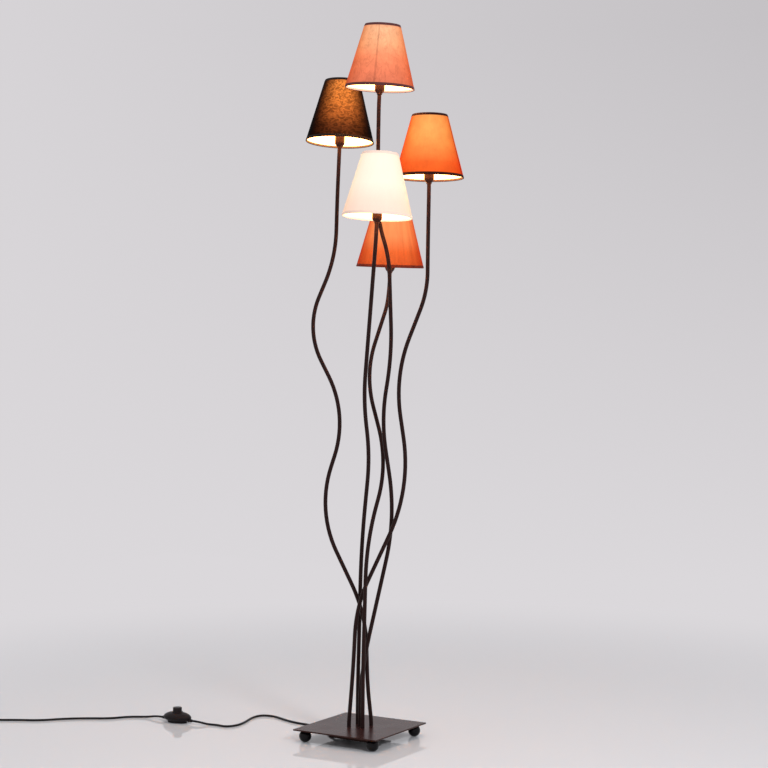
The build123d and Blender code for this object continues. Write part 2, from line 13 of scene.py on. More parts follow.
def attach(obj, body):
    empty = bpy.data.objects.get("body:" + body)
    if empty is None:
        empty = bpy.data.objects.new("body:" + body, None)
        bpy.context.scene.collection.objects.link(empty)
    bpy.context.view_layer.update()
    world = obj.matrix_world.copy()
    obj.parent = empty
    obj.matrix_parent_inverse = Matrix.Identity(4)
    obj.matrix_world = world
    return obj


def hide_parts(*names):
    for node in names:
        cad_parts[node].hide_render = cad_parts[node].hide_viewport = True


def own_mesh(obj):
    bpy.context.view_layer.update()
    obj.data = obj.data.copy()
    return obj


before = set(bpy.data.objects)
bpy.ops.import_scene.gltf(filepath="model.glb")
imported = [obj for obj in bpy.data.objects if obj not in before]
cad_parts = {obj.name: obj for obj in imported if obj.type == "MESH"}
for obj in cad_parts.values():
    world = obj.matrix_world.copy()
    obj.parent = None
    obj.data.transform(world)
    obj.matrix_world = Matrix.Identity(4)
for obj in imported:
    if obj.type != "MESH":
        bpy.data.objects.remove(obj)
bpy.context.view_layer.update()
MM = 0.001

# ---------------------------------------------------------------- sizes, in millimetres
STEM_D = 9.0
STEM_SHORT = 4.0  # stem's end below the shade's bottom rim
SHADE_BOTTOM_R = 78.0
SHADE_TOP_R = 40.0
SHADE_H = 142.0
SHADE_WALL = 0.8
LINING_TOP = 5.0  # the lining's end below the top rim
HEM_ROLL = 1.2  # radius of the edge rolled over its wire
FOOT_R = 13.75
FOOT_FLAT_R = 3.5
FOOT_XY = 88.5
GLAND_AT = Vector((-50.0, 16.0, 15.6))  # where it leaves the cover
SWITCH_AT = Vector((-461.0, -72.0, 0.0))
SWITCH_HALF = 37.0
SWITCH_SQUASH = 46.0 / 74.0  # width to length
SWITCH_SPLIT = 11.5  # height at which the two shells meet
SWITCH_TOP = 25.0
SPOUT_Z = 7.5  # height of the cord where it enters the switch
CORD_D = 5.0
CORD_Z = 2.6  # middle of the cord on the floor
COIL_R = 33.0
COIL_STEP = 2.75  # the spiral draws in by this each half turn
COIL_HALF_TURNS = 4  # on each layer, with one more that climbs between them
COIL_LAYER = 5.5  # from one layer's middle to the next

# Each stem's corners, from under the plate to its head
STEMS = {
    "left": [
        (18, 18, 18), (18, 18, 41.6), (9, 17, 120), (5, 16, 280), (-96, -29, 511),
        (-46, 21, 726), (-137, -14, 919), (-89, 37, 1082), (-92, 49, 1220), (-92, 59, 1341),
    ],
    "front": [
        (-18, 18, 18), (-18, 18, 41.6), (-19, 21, 121), (-11, 23, 434), (21, 8, 635),
        (16, -11, 762), (66, -39, 1112), (67, -36, 1159),
    ],
    "back": [
        (18, -18, 18), (18, -18, 41.6), (19, -18, 149), (24, -11, 445), (32, 67, 617),
        (-33, 73, 817), (-13, 138, 975), (-14, 149, 1020), (-12, 148, 1058),
    ],
    "top": [
        (0, 0, 18), (0, 0, 112), (13, 4, 200), (63, 50, 497), (30, 42, 715), (45, 63, 863),
        (38, 62, 1080), (19, 47, 1161), (24, 38, 1319), (31, 30, 1415), (33, 30, 1450),
    ],
    "right": [
        (-18, -18, 18), (-18, -18, 41.6), (-10, -13, 160), (-2, -12, 302), (99, 56, 562),
        (65, 42, 815), (124, 86, 1003), (124, 88, 1102), (124, 92, 1210), (124, 93, 1252),
    ],
}

# The free cord's route on the floor: lamp to switch, and switch to coil
CORD_TO_SWITCH = [
    (-61.5, 16, 15.6), (-80, 16, 15.6), (-114, 28, CORD_Z), (-164, 54, CORD_Z),
    (-212, 56, CORD_Z), (-258, 72, CORD_Z), (-300, 92, CORD_Z), (-334, 84, CORD_Z),
    (-333, 44, CORD_Z), (-319, 4, CORD_Z), (-312, -38, CORD_Z), (-328, -64, CORD_Z),
    (-354, -58, CORD_Z), (-378, -64, CORD_Z), (-400, -72, SPOUT_Z), (-418, -72, SPOUT_Z),
]
CORD_FROM_SWITCH = [
    (-504, -72, SPOUT_Z), (-522, -72, SPOUT_Z), (-553, -74, CORD_Z), (-588, -92, CORD_Z),
    (-616, -134, CORD_Z), (-660, -158, CORD_Z), (-703, -190, CORD_Z), (-740, -236, CORD_Z),
    (-790, -260, CORD_Z), (-834, -288, CORD_Z), (-862, -276, CORD_Z), (-874, -248, CORD_Z),
]


# ---------------------------------------------------------------- colours and nodes
def srgb(code):
    """Linear colour of an sRGB hex value."""

    def linear(pair):
        level = int(pair, 16) / 255
        return level / 12.92 if level <= 0.04045 else ((level + 0.055) / 1.055) ** 2.4

    return (*(linear(code[k : k + 2]) for k in (1, 3, 5)), 1.0)


def feed(tree, node, inputs):
    """Links each input to another node's output, or gives it its value."""
    for name, value in inputs.items():
        socket = node.inputs[name]
        if isinstance(value, bpy.types.NodeSocket):
            tree.links.new(value, socket)
        else:
            socket.default_value = value


def add(tree, kind, settings=None, inputs=None, stops=()):
    """Adds a node with its properties, its inputs and, for a ramp, its places and colours."""
    made = tree.nodes.new(kind)
    for name, value in (settings or {}).items():
        setattr(made, name, value)
    feed(tree, made, inputs or {})
    if stops:
        line = made.color_ramp.elements
        while len(line) < len(stops):
            line.new(0.5)
        for point, (place, colour) in zip(line, stops):
            point.position = place
            point.color = colour
    return made


def per_mm(size):
    """Texture scale for a feature of this many millimetres, on coordinates in metres."""
    return 1 / (size * MM)


def blank(name):
    """A new material, its tree and its shader, with the output linked."""
    material = bpy.data.materials.new(name)
    material.use_nodes = True
    tree = material.node_tree
    tree.nodes.clear()
    shader = add(tree, "ShaderNodeBsdfPrincipled")
    add(tree, "ShaderNodeOutputMaterial", inputs={"Surface": shader.outputs[0]})
    return material, tree, shader


def grey(level):
    """Linear grey of this level."""
    return (level, level, level, 1.0)


BRONZE_GLEAM = "#ffd2bd"  # flake in the powder warms what it reflects
COAT_PATCH = 38  # mm of coat between one shade of brown and the next
PLASTIC_PATCH = 22  # mm between handled and clean places
GLOW_PATCH = 14  # mm between brighter and dimmer places


def coated_steel(name, colour, worn, roughness, grain, ior):
    """Steel with a baked powder coat: fine orange peel, with slightly uneven gloss."""
    material, tree, shader = blank(name)
    at = add(tree, "ShaderNodeTexCoord").outputs["Object"]
    peel = add(
        tree, "ShaderNodeTexNoise", inputs={"Vector": at, "Scale": per_mm(grain), "Detail": 2.0}
    ).outputs[0]
    patches = add(
        tree, "ShaderNodeTexNoise",
        inputs={"Vector": at, "Scale": per_mm(COAT_PATCH), "Detail": 3.0},
    ).outputs[0]
    tone = add(
        tree, "ShaderNodeValToRGB", inputs={"Fac": patches},
        stops=[(0.35, srgb(colour)), (0.7, srgb(worn))],
    )
    gloss = add(
        tree, "ShaderNodeMapRange",
        inputs={"Value": patches, "To Min": roughness - 0.05, "To Max": roughness + 0.07},
    )
    bump = add(
        tree, "ShaderNodeBump", inputs={"Height": peel, "Strength": 0.25, "Distance": 0.05 * MM}
    )
    feed(tree, shader, {
        "Base Color": tone.outputs["Color"], "Roughness": gloss.outputs[0],
        "Normal": bump.outputs[0], "IOR": ior, "Specular Tint": srgb(BRONZE_GLEAM),
    })
    return material


def moulded(name, colour, roughness, grain, depth, ior=1.46):
    """Moulded plastic or cast lacquer with a spark-eroded grain of this many millimetres."""
    material, tree, shader = blank(name)
    at = add(tree, "ShaderNodeTexCoord").outputs["Object"]
    spots = add(
        tree, "ShaderNodeTexNoise", inputs={"Vector": at, "Scale": per_mm(grain), "Detail": 2.0}
    )
    soil = add(
        tree, "ShaderNodeTexNoise",
        inputs={"Vector": at, "Scale": per_mm(PLASTIC_PATCH), "Detail": 4.0},
    )
    deep = (*(c * 0.82 for c in srgb(colour)[:3]), 1.0)
    tone = add(
        tree, "ShaderNodeValToRGB", inputs={"Fac": soil.outputs[0]},
        stops=[(0.3, deep), (0.65, srgb(colour))],
    )
    bump = add(
        tree, "ShaderNodeBump",
        inputs={"Height": spots.outputs[0], "Strength": 0.3, "Distance": depth * MM},
    )
    feed(tree, shader, {
        "Base Color": tone.outputs["Color"], "Normal": bump.outputs[0], "Roughness": roughness,
        "IOR": ior,
    })
    return material


def plated(name, colour, roughness, grain):
    """Plated metal with fine drawing marks."""
    material, tree, shader = blank(name)
    at = add(tree, "ShaderNodeTexCoord").outputs["Object"]
    marks = add(
        tree, "ShaderNodeTexNoise", inputs={"Vector": at, "Scale": per_mm(grain), "Detail": 3.0}
    )
    rough = add(
        tree, "ShaderNodeMapRange",
        inputs={"Value": marks.outputs[0], "To Min": roughness - 0.08, "To Max": roughness + 0.1},
    )
    feed(tree, shader, {
        "Roughness": rough.outputs[0], "Base Color": srgb(colour), "Metallic": 1.0,
    })
    return material


def glowing(name, light, base):
    """Opal surface with light behind it or on it, given in linear levels."""
    material, tree, shader = blank(name)
    at = add(tree, "ShaderNodeTexCoord").outputs["Object"]
    patches = add(
        tree, "ShaderNodeTexNoise",
        inputs={"Vector": at, "Scale": per_mm(GLOW_PATCH), "Detail": 3.0},
    )
    most = max(light)
    shine = add(
        tree, "ShaderNodeMapRange",
        inputs={"Value": patches.outputs[0], "To Min": most * 0.92, "To Max": most * 1.08},
    )
    feed(tree, shader, {
        "Emission Strength": shine.outputs[0], "Emission Color": (*(c / most for c in light), 1.0),
        "Base Color": srgb(base), "Roughness": 0.5,
    })
    return material


# ---------------------------------------------------------------- finishes
# Polyester powder coat on mild steel: near-black brown, satin, with a fine orange peel
stem_coat = coated_steel("powder_coated_steel_tube", "#1c1112", "#211415", 0.36, 0.9, 1.26)
plate_coat = coated_steel("powder_coated_steel_plate", "#2c1817", "#301b1a", 0.27, 1.1, 1.32)
# Turned steel ball under gloss lacquer, so it mirrors the room in small highlights
foot_lacquer = moulded("lacquered_turned_ball", "#0b090b", 0.2, 3.0, 0.01, ior=1.27)
# Plated metals: bright, with the fine lines that drawing or threading leaves
zinc = plated("zinc_plated_steel", "#b4b6b8", 0.38, 0.5)
nickel = plated("nickel_plated_brass", "#cfc9ba", 0.22, 0.4)
spring_wire = plated("drawn_spring_wire", "#9a9b9e", 0.3, 0.3)
# Moulded and dipped parts out of sight: matt nylon, glossy thermoset and enamel
nylon_white = moulded("moulded_nylon_natural", "#ddd8cb", 0.5, 0.6, 0.03)
nylon_black = moulded("moulded_nylon_black", "#1b191b", 0.5, 0.7, 0.04)
holder_urea = moulded("moulded_urea_ivory", "#efe9dc", 0.3, 0.8, 0.01)
carrier_enamel = moulded("dipped_enamel_wire", "#ece7dc", 0.25, 0.8, 0.01)
# ABS with a spark-eroded grain: dark warm grey, matt, so highlights are broad
switch_abs = moulded("moulded_abs_dark", "#191315", 0.42, 0.6, 0.04, ior=1.28)
# Plasticised PVC, extruded: smooth and nearly matt
cord_pvc = moulded("extruded_pvc_sheath", "#0f0c0e", 0.42, 0.9, 0.02, ior=1.33)
# A warm lamp's light in a daylight picture: far brighter than white, and orange with it
bulb_glass = glowing("opal_glass_envelope", (9.0, 4.6, 2.0), "#fff6e8")
# painted light: the bulb's light on the lining, set as the lining's own glow
lining_painted_glow = glowing("white_pvc_lining_painted_glow", (11.0, 4.4, 1.3), "#c9bfb2")
ROOM_LIGHT = 0.7  # of the room on cloth that faces the camera
PATTERN_R = 58.0  # radius at which patterns keep their real size round a shade
WEAVE = 1.6  # mm, coarser than the real thread so that it shows
TAPE_WEAVE = 1.2
LAP_HALF = 0.003  # the seam's half width, as a share of a turn, and where its edge ends
LAP_SOFT = 0.007


def behind(seen, base, dye):
    """The light behind the cloth that shows as this colour, through its dye and in this room."""
    return [
        max(s - ROOM_LIGHT * b, 0.0) / d for s, b, d in zip(srgb(seen)[:3], srgb(base)[:3], dye)
    ]


def shade_cloth(name, look):
    """Cotton blend laminated on film, with a bulb behind it.

    The bulb's light through it is painted on as emission, by height, as the bulb's distance would
    make it. Its dye takes more of the light where the cloth is seen aslant. The pattern is the
    unevenness the light shows up.
    """
    material, tree, shader = blank(name)
    at = add(tree, "ShaderNodeUVMap", {"uv_map": "Turn"}).outputs["UV"]
    split = add(tree, "ShaderNodeSeparateXYZ", inputs={"Vector": at})
    turn, height = split.outputs["X"], split.outputs["Y"]
    # painted light: the bulb's light through the cloth, given by height and set as emission
    levels = [(place, behind(seen, look["base"], look["dye"])) for place, seen in look["glow"]]
    most = max(max(level) for _, level in levels)
    glow = add(
        tree, "ShaderNodeValToRGB", inputs={"Fac": height},
        stops=[(place, (*(c / most for c in level), 1.0)) for place, level in levels],
    ).outputs["Color"]
    # metres round the shade and up it, so that patterns keep their real size
    flat = add(
        tree, "ShaderNodeVectorMath", {"operation": "MULTIPLY"},
        {0: at, 1: (2 * pi * PATTERN_R * MM, SHADE_H * MM, 1.0)},
    ).outputs[0]
    # painted light: one side of the shade is made brighter by turn, though the bulb stands in the
    # middle
    brightest_turn, share = look["bright_side"]
    swing = add(tree, "ShaderNodeMath", {"operation": "SUBTRACT"}, {0: turn, 1: brightest_turn})
    swing = add(
        tree, "ShaderNodeMath", {"operation": "MULTIPLY"}, {0: swing.outputs[0], 1: 2 * pi}
    )
    swing = add(tree, "ShaderNodeMath", {"operation": "COSINE"}, {0: swing.outputs[0]})
    painted_side_light = add(
        tree, "ShaderNodeMath", {"operation": "MULTIPLY_ADD"},
        {0: swing.outputs[0], 1: share, 2: 1.0},
    ).outputs[0]
    weave = add(
        tree, "ShaderNodeTexNoise",
        inputs={"Vector": flat, "Scale": per_mm(WEAVE), "Detail": 2.0, "Roughness": 0.6},
    ).outputs[0]
    dim = add(
        tree, "ShaderNodeMapRange", inputs={"Value": weave, "To Min": 0.9, "To Max": 1.1}
    ).outputs[0]
    # the lapped seam lets less light through
    off = add(tree, "ShaderNodeMath", {"operation": "SUBTRACT"}, {0: turn, 1: look["seam"]})
    away = add(tree, "ShaderNodeMath", {"operation": "ABSOLUTE"}, {0: off.outputs[0]})
    dark = grey(look["seam_dark"])
    lap = add(
        tree, "ShaderNodeValToRGB", inputs={"Fac": away.outputs[0]},
        stops=[(0.0, dark), (LAP_HALF, dark), (LAP_SOFT, grey(1.0)), (1.0, grey(1.0))],
    ).outputs["Color"]
    for factor in (*look["pattern"](tree, flat), painted_side_light, lap):
        dim = add(
            tree, "ShaderNodeMath", {"operation": "MULTIPLY"}, {0: dim, 1: factor}
        ).outputs[0]
    light = add(
        tree, "ShaderNodeMix", {"data_type": "RGBA", "blend_type": "MULTIPLY"},
        {"Factor": 1.0, 6: glow, 7: dim},
    ).outputs[2]
    bump = add(
        tree, "ShaderNodeBump", inputs={"Height": weave, "Strength": 0.3, "Distance": 0.1 * MM}
    ).outputs[0]
    feed(tree, shader, {
        "Emission Color": light, "Normal": bump, "Base Color": srgb(look["base"]),
        "Roughness": 0.85, "Specular IOR Level": 0.2, "Emission Strength": most,
        "Coat Weight": 1.0, "Coat Roughness": 0.6, "Coat IOR": 1.05,
        "Coat Tint": (*look["dye"], 1.0),
    })
    return material


def lumps(tree, flat, size, stretch, slant, detail, distortion=0.0):
    """Noise with lumps of this many millimetres, stretched and turned on the flat cloth."""
    laid = add(
        tree, "ShaderNodeMapping",
        inputs={"Vector": flat, "Rotation": (0, 0, radians(slant)), "Scale": stretch},
    )
    return add(
        tree, "ShaderNodeTexNoise",
        inputs={
            "Vector": laid.outputs[0], "Scale": per_mm(size), "Detail": detail, "Roughness": 0.6,
            "Distortion": distortion,
        },
    ).outputs[0]


def cloud(tree, flat, size, least, most, stretch=(1.0, 1.0, 1.0), slant=0.0, detail=3.0):
    """Soft unevenness between two levels."""
    return add(
        tree, "ShaderNodeMapRange",
        inputs={
            "Value": lumps(tree, flat, size, stretch, slant, detail),
            "From Min": 0.32, "From Max": 0.68, "To Min": least, "To Max": most,
        },
    ).outputs[0]


def veins(tree, flat, size, width, line, field, stretch, slant):
    """Thin wandering lines at one level in a field of another."""
    wander = lumps(tree, flat, size, stretch, slant, 2.0, 0.8)
    off = add(tree, "ShaderNodeMath", {"operation": "SUBTRACT"}, {0: wander, 1: 0.5})
    off = add(tree, "ShaderNodeMath", {"operation": "ABSOLUTE"}, {0: off.outputs[0]})
    return add(
        tree, "ShaderNodeMapRange",
        inputs={
            "Value": off.outputs[0], "From Min": 0.0, "From Max": width,
            "To Min": line, "To Max": field,
        },
    ).outputs[0]


def smooth_cloth(tree, flat):
    """Fine even weave with hardly a mark."""
    return [cloud(tree, flat, 12, 0.985, 1.02, (1.0, 0.3, 1.0))]


def ribbed_cloth(tree, flat):
    """Broad upright stripes, where the cloth was drawn over its film."""
    return [
        cloud(tree, flat, 15, 0.84, 1.14, (1.0, 0.06, 1.0)),
        cloud(tree, flat, 5, 0.95, 1.05, (1.0, 0.2, 1.0)),
    ]


def mottled_cloth(tree, flat):
    """Wide soft patches with faint upright slubs."""
    return [
        cloud(tree, flat, 26, 0.9, 1.1),
        cloud(tree, flat, 5, 0.96, 1.04, (1.0, 0.3, 1.0)),
    ]


def creased_cloth(tree, flat):
    """Slanting creases over soft patches."""
    return [
        cloud(tree, flat, 22, 0.9, 1.12, detail=4.0),
        veins(tree, flat, 15, 0.045, 0.84, 1.02, (1.0, 0.45, 1.0), 38),
        cloud(tree, flat, 3.2, 0.94, 1.06, (1.0, 0.4, 1.0), -24, 4.0),
    ]


def crazed_cloth(tree, flat):
    """Bright crazing where light gets past an opaque cloth."""
    return [
        veins(tree, flat, 11, 0.1, 1.7, 0.74, (0.7, 1.3, 1.0), 20),
        cloud(tree, flat, 4.5, 0.78, 1.22, detail=5.0),
    ]


def hem_tape(name, colour, glow):
    """Edge tape over the wire ring: doubled cloth, so hardly any light comes through; what light
    shows is painted on as its glow.
    """
    material, tree, shader = blank(name)
    at = add(tree, "ShaderNodeTexCoord").outputs["Object"]
    weave = add(
        tree, "ShaderNodeTexNoise",
        inputs={"Vector": at, "Scale": per_mm(TAPE_WEAVE), "Detail": 2.0},
    )
    bump = add(
        tree, "ShaderNodeBump",
        inputs={"Height": weave.outputs[0], "Strength": 0.4, "Distance": 0.1 * MM},
    )
    feed(tree, shader, {
        "Normal": bump.outputs[0], "Base Color": srgb(colour), "Roughness": 0.8,
        "Specular IOR Level": 0.2, "Emission Color": srgb(glow), "Emission Strength": 1.0,
    })
    return material


# ---------------------------------------------------------------- making pieces
SHARP_EDGE = radians(35)
BEND_SHARE = 0.45  # of the shorter run at a corner that its bend takes up


def finished(mesh, name, *finishes):
    """Object for a mesh that is already in its place, with its finishes and hard edges set."""
    piece = bpy.data.objects.new(name, mesh)
    bpy.context.scene.collection.objects.link(piece)
    for finish in finishes:
        mesh.materials.append(finish)
    mesh.shade_smooth()
    mesh.set_sharp_from_angle(angle=SHARP_EDGE)
    return piece


def meshed(shape, name, place):
    """The mesh of a closed shape drawn in mm: its faces turned outwards, set in its place."""
    if shape.calc_volume(signed=True) < 0:
        bmesh.ops.reverse_faces(shape, faces=shape.faces)
    shape.transform(place @ Matrix.Scale(MM, 4))
    mesh = bpy.data.meshes.new(name)
    shape.to_mesh(mesh)
    shape.free()
    return mesh


def spun(
    name, outline, place, *finishes, steps=64, squash=1.0, closed=False, part_of=None, puff=None
):
    """A turned piece: an outline of (radius, height) in mm about Z, then set in place.

    part_of gives the finish of each band, and puff how far a point stands off, in mm.
    """
    shape = bmesh.new()
    uv = shape.loops.layers.uv.new("Turn")
    low = min(z for _, z in outline)
    tall = max(z for _, z in outline) - low
    rows = []
    for radius, z in outline:
        row = []
        for k in range(steps if radius > 0 else 1):
            angle = 2 * pi * k / steps
            reach = radius + (puff(angle, z) if puff else 0)
            row.append(shape.verts.new((reach * cos(angle), squash * reach * sin(angle), z)))
        rows.append(row)
    bands = list(zip(range(len(rows)), rows, rows[1:] + rows[:1]))
    for index, below, above in bands if closed else bands[:-1]:
        if len(below) == len(above) == 1:
            continue
        for k in range(steps):
            ends = [(below, k), (below, k + 1), (above, k + 1), (above, k)]
            corners, marks = [], []
            for row, turn in ends:
                point = row[turn % len(row)]
                if point not in corners:
                    corners.append(point)
                    marks.append((turn / steps, (point.co.z - low) / tall))
            face = shape.faces.new(corners)
            face.material_index = part_of[index] if part_of else 0
            for loop, mark in zip(face.loops, marks):
                loop[uv].uv = mark
    return finished(meshed(shape, name, place), name, *finishes)


def lofted(name, sections, place, finish):
    """Rounded body through sections of (along X, half width, half height, squareness)."""
    steps = 48
    shape = bmesh.new()
    rings = []
    for x, wide, high, square in sections:
        ring = []
        for k in range(steps):
            c, s = cos(2 * pi * k / steps), sin(2 * pi * k / steps)
            y = wide * abs(c) ** (1 / square) * (1 if c >= 0 else -1)
            z = high * abs(s) ** (1 / square) * (1 if s >= 0 else -1)
            ring.append(shape.verts.new((x, y, z)))
        rings.append(ring)
    for one, two in zip(rings, rings[1:]):
        for k in range(steps):
            n = (k + 1) % steps
            shape.faces.new([one[k], one[n], two[n], two[k]])
    shape.faces.new(rings[0][::-1])
    shape.faces.new(rings[-1])
    return finished(meshed(shape, name, place), name, finish)


def as_mesh(maker, name, finish):
    """The result of a maker object's geometry nodes as a plain piece; the maker goes."""
    seen = maker.evaluated_get(bpy.context.evaluated_depsgraph_get())
    mesh = bpy.data.meshes.new_from_object(seen)
    mesh.name = name
    bpy.data.objects.remove(maker)
    mesh.materials.clear()
    return finished(mesh, name, finish)


def node_tree(name, sizes):
    """A geometry tree with named inputs for its sizes."""
    tree = bpy.data.node_groups.new(name, "GeometryNodeTree")
    face = tree.interface
    face.new_socket("Geometry", in_out="INPUT", socket_type="NodeSocketGeometry")
    face.new_socket("Geometry", in_out="OUTPUT", socket_type="NodeSocketGeometry")
    for size, kind, value in sizes:
        face.new_socket(size, in_out="INPUT", socket_type=kind).default_value = value
    return tree, add(tree, "NodeGroupInput"), add(tree, "NodeGroupOutput")


def run_tree(data, tree, sizes):
    """A maker object whose modifier runs the tree, its inputs set by socket identifier."""
    maker = bpy.data.objects.new("maker", data)
    bpy.context.scene.collection.objects.link(maker)
    modifier = maker.modifiers.new("maker", "NODES")
    modifier.node_group = tree
    for item in tree.interface.items_tree:
        if item.in_out == "INPUT" and item.name in sizes:
            modifier[item.identifier] = sizes[item.name]
    return maker


def swept(tree, curve, diameter, steps):
    """A round section of this diameter along a curve, with its ends closed."""
    half = add(tree, "ShaderNodeMath", {"operation": "DIVIDE"}, {0: diameter, 1: 2.0})
    ring = add(
        tree, "GeometryNodeCurvePrimitiveCircle", {"mode": "RADIUS"},
        {"Resolution": steps, "Radius": half.outputs[0]},
    )
    return add(
        tree, "GeometryNodeCurveToMesh",
        inputs={"Curve": curve, "Profile Curve": ring.outputs[0], "Fill Caps": True},
    ).outputs[0]


def end_tree(tree, result, shape, finish):
    """The tree's end: its instances made real, then its finish."""
    whole = add(tree, "GeometryNodeRealizeInstances", inputs={"Geometry": shape})
    coated = add(
        tree, "GeometryNodeSetMaterial", inputs={"Geometry": whole.outputs[0], "Material": finish}
    )
    tree.links.new(coated.outputs[0], result.inputs[0])
    return tree


def bent_tube_tree():
    """Round bar along a route of straight runs, its bends as wide as each point's radius says."""
    tree, given, result = node_tree(
        "Bent tube",
        [
            ("Tube Diameter", "NodeSocketFloat", 0.009),
            ("Steps Round", "NodeSocketInt", 32),
            ("Steps per Bend", "NodeSocketInt", 12),
        ],
    )
    radius = add(tree, "GeometryNodeInputRadius").outputs[0]
    bend = add(
        tree, "GeometryNodeFilletCurve", {"mode": "POLY"},
        {
            "Curve": given.outputs["Geometry"], "Radius": radius,
            "Count": given.outputs["Steps per Bend"],
        },
    )
    even = add(
        tree, "GeometryNodeSetCurveRadius", inputs={"Curve": bend.outputs[0], "Radius": 1.0}
    )
    tube = swept(
        tree, even.outputs[0], given.outputs["Tube Diameter"], given.outputs["Steps Round"]
    )
    return end_tree(tree, result, tube, stem_coat)


def route_curve(points, radii):
    """A curve of straight runs, each point's radius being its bend, in metres."""
    data = bpy.data.curves.new("route", "CURVE")
    data.dimensions = "3D"
    line = data.splines.new("POLY")
    line.points.add(len(points) - 1)
    for point, place, radius in zip(line.points, points, radii):
        point.co = (*(Vector(place) * MM), 1.0)
        point.radius = radius * MM
    return data


def bend_radii(points):
    """The radius of the bend at each corner of a route; its ends have none."""
    radii = [0.0]
    for a, b, c in zip(points, points[1:], points[2:]):
        before, after = Vector(b) - Vector(a), Vector(c) - Vector(b)
        turn = before.angle(after)
        radii.append(BEND_SHARE * min(before.length, after.length) / tan(turn / 2))
    return radii + [0.0]


def spokes_tree():
    """Wire spokes about an axis, each from the hub down to the rim."""
    tree, given, result = node_tree(
        "Wire spokes",
        [("Spoke Count", "NodeSocketInt", 3), ("Wire Diameter", "NodeSocketFloat", 0.0022)],
    )
    wire = swept(tree, given.outputs["Geometry"], given.outputs["Wire Diameter"], 14)
    spots = add(tree, "GeometryNodePoints", inputs={"Count": given.outputs["Spoke Count"]})
    number = add(tree, "GeometryNodeInputIndex").outputs[0]
    share = add(
        tree, "ShaderNodeMath", {"operation": "DIVIDE"},
        {0: 2 * pi, 1: given.outputs["Spoke Count"]},
    )
    angle = add(
        tree, "ShaderNodeMath", {"operation": "MULTIPLY"}, {0: number, 1: share.outputs[0]}
    )
    spin = add(tree, "ShaderNodeCombineXYZ", inputs={"Z": angle.outputs[0]})
    each = add(
        tree, "GeometryNodeInstanceOnPoints",
        inputs={"Points": spots.outputs[0], "Instance": wire, "Rotation": spin.outputs[0]},
    )
    return end_tree(tree, result, each.outputs[0], carrier_enamel)


def coil_spring_tree():
    """Wire wound in a helix between two heights."""
    tree, given, result = node_tree(
        "Return spring",
        [
            ("Turns", "NodeSocketFloat", 6.0),
            ("Coil Radius", "NodeSocketFloat", 0.0041),
            ("Free Height", "NodeSocketFloat", 0.0071),
            ("Wire Diameter", "NodeSocketFloat", 0.0008),
        ],
    )
    helix = add(
        tree, "GeometryNodeCurveSpiral",
        inputs={
            "Resolution": 24, "Rotations": given.outputs["Turns"],
            "Start Radius": given.outputs["Coil Radius"],
            "End Radius": given.outputs["Coil Radius"], "Height": given.outputs["Free Height"],
        },
    )
    wire = swept(tree, helix.outputs[0], given.outputs["Wire Diameter"], 10)
    return end_tree(tree, result, wire, spring_wire)


def on_lamp(piece, slot, *nodes):
    """The piece rides on the lamp's body and stands for CAD nodes; slot is not used."""
    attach(piece, "lamp")
    if nodes:
        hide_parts(*nodes)
    return piece


def paint(node, finish):
    """A CAD node that shows as it is gets its finish."""
    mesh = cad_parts[node].data
    mesh.materials.clear()
    mesh.materials.append(finish)


# ---------------------------------------------------------------- stems
tube_tree = bent_tube_tree()
for side, points in STEMS.items():
    maker = run_tree(
        route_curve(points, bend_radii(points)), tube_tree,
        {"Tube Diameter": STEM_D * MM, "Steps Round": 32, "Steps per Bend": 14},
    )
    on_lamp(as_mesh(maker, f"stem_tube_{side}", stem_coat), "steel_coat", f"stem_{side}")


# ---------------------------------------------------------------- lamp heads
def head_place(points):
    """Where a head stands: the middle of the shade's bottom rim, with Z along the head."""
    axis = (Vector(points[-1]) - Vector(points[-2])).normalized()
    across = (Vector((1, 0, 0)) - axis * axis.x).normalized()
    turn = Matrix((across, axis.cross(across), axis)).transposed().to_4x4()
    return Matrix.Translation((Vector(points[-1]) + axis * STEM_SHORT) * MM) @ turn


def arc(middle, radius, start, end, count):
    """Points of an arc in the outline's plane, angles in degrees."""
    angles = [radians(start + (end - start) * k / count) for k in range(count + 1)]
    return [(middle[0] + radius * cos(a), middle[1] + radius * sin(a)) for a in angles]


def shade_r(z):
    """The shade's outer radius at this height above its bottom rim."""
    return SHADE_BOTTOM_R + (SHADE_TOP_R - SHADE_BOTTOM_R) * z / SHADE_H


CLOTH, TAPE, LINED, TURNED_IN = range(4)  # places of a shade's finishes
WALL_ROWS = 22
ROLL_STEPS = 8
HEM_PROUD = 0.25  # how far the tape stands off the cloth
HEM_LOW = 6.5  # height of the tape at the bottom rim, outside
HEM_HIGH = 5.5  # the same at the top rim
HEM_IN = 5.5  # how far the tape is turned in at the bottom
HEM_STEP = 0.2  # along the wall, from the tape's edge to the cloth
WAVE = 0.22  # how far the cloth stands off its film at most
WAVE_TALL = 45.0  # height of a wave, several to the way round
WAVES_ROUND = 2.2
WAVE_SHIFT = 3.7  # so that no two shades wave alike


